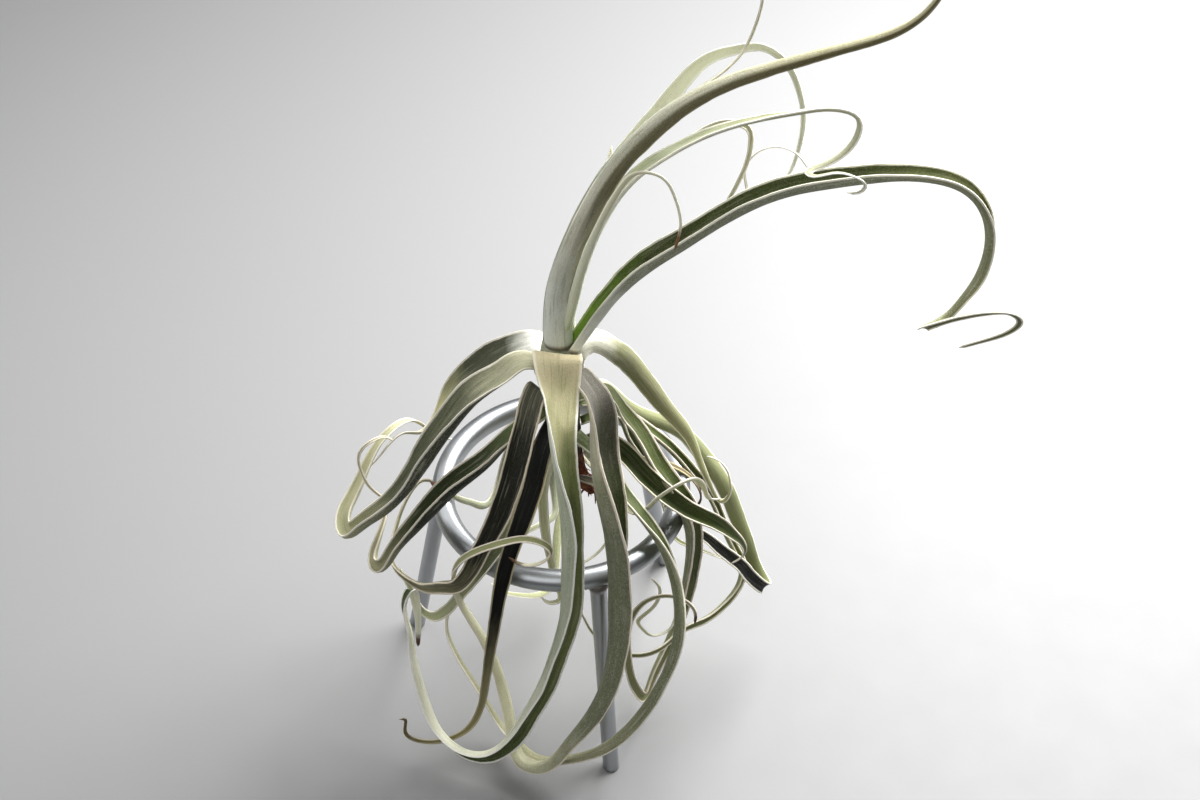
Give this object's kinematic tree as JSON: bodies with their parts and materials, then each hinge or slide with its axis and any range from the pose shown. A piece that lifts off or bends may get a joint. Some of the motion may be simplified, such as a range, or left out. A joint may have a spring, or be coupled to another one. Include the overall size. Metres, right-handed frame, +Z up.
{
  "type": "air plant on a ring stand",
  "caption": "Air plant with long channelled, curling leaves, resting in a three-legged metal ring stand.",
  "frame": {"origin": "centre of the bounding box's underside, on the plane that the three feet stand on", "axes": "+Z up from the feet, +X to the right of the pictured view, +Y away from its viewer"},
  "size_m": [0.2674, 0.1456, 0.4183],
  "materials": {
    "stand_metal": "polished",
    "stem_dry": "matt, dry and fibrous",
    "leaf_olive": "matt, finely ribbed lengthwise",
    "leaf_silver": "matt, silvery scurf",
    "leaf_dark_green": "matt, with pale margins",
    "leaf_bright_green": "satin, with pale margins",
    "leaf_pale": "matt, pale and slightly translucent",
    "leaf_brown": "matt, withered"
  },
  "bodies": {
    "root": {"stand_ring": "stand_metal", "stand_leg_front": "stand_metal", "stand_leg_back": "stand_metal", "stand_leg_left": "stand_metal", "stem": "stem_dry", "leaf_front": "leaf_olive", "leaf_front_right": "leaf_silver", "leaf_left": "leaf_olive", "leaf_right": "leaf_olive", "leaf_back_left": "leaf_pale", "leaf_back": "leaf_olive", "leaf_right_hoop": "leaf_silver", "leaf_left_channel": "leaf_dark_green", "leaf_front_left": "leaf_dark_green", "leaf_left_hook": "leaf_silver", "leaf_dark": "leaf_dark_green", "leaf_right_outer": "leaf_silver", "leaf_right_mid": "leaf_dark_green", "leaf_right_low": "leaf_dark_green", "leaf_right_long": "leaf_olive", "leaf_right_slim": "leaf_silver", "leaf_right_cream": "leaf_pale", "leaf_brown_curl": "leaf_brown", "leaf_strap": "leaf_pale", "leaf_back_left_low": "leaf_silver", "leaf_inner": "leaf_pale", "leaf_inner_left": "leaf_silver", "leaf_inner_right": "leaf_pale", "upper_rolled": "leaf_silver", "upper_pale": "leaf_pale", "upper_slim": "leaf_silver", "upper_arching": "leaf_silver", "upper_curl": "leaf_pale", "upper_brown_tip": "leaf_olive", "upper_channel": "leaf_bright_green", "upper_short": "leaf_silver"}
  },
  "joints": []
}
